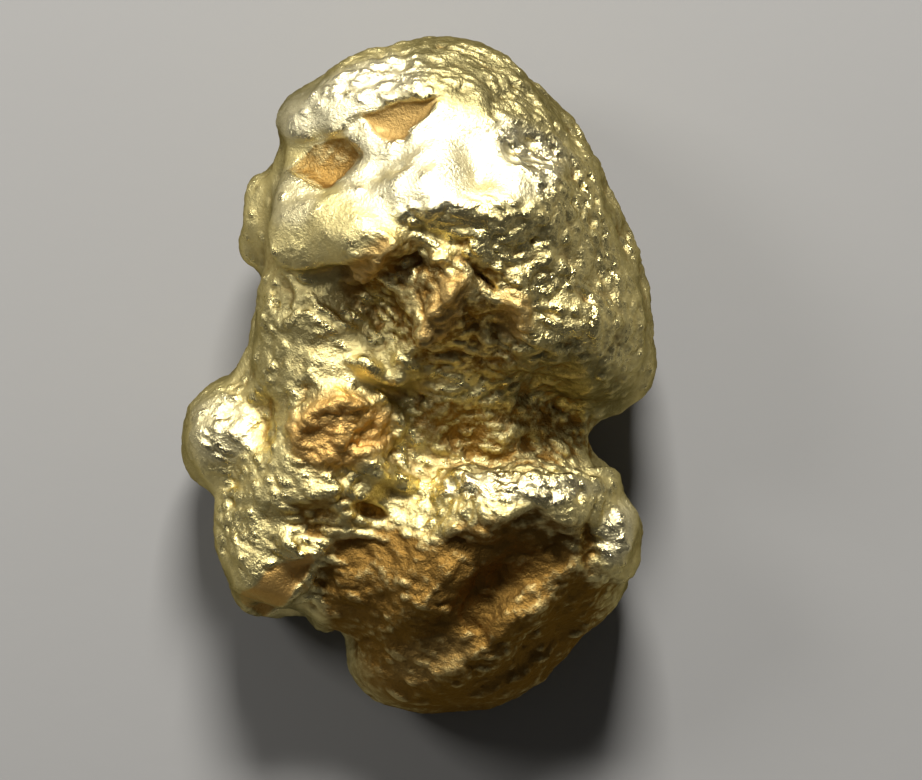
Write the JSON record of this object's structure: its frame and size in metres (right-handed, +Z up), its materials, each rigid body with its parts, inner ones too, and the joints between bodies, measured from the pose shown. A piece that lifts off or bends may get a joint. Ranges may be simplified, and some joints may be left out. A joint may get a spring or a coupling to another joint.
{
  "type": "gold nugget",
  "caption": "Rounded, water-worn lump of native gold with a domed head, a narrow neck and a broad ridged lower body, lying on its worn underside.",
  "frame": {"origin": "centre of the bounding box's base, on the surface that the nugget lies on", "axes": "+Y along the nugget's length towards its domed head, +X to the right as seen from above, +Z up"},
  "size_m": [0.017, 0.0244, 0.0124],
  "materials": {
    "gold": "native gold, burnished on high places and rough in hollows"
  },
  "bodies": {
    "root": {"nugget": "gold"}
  },
  "joints": []
}
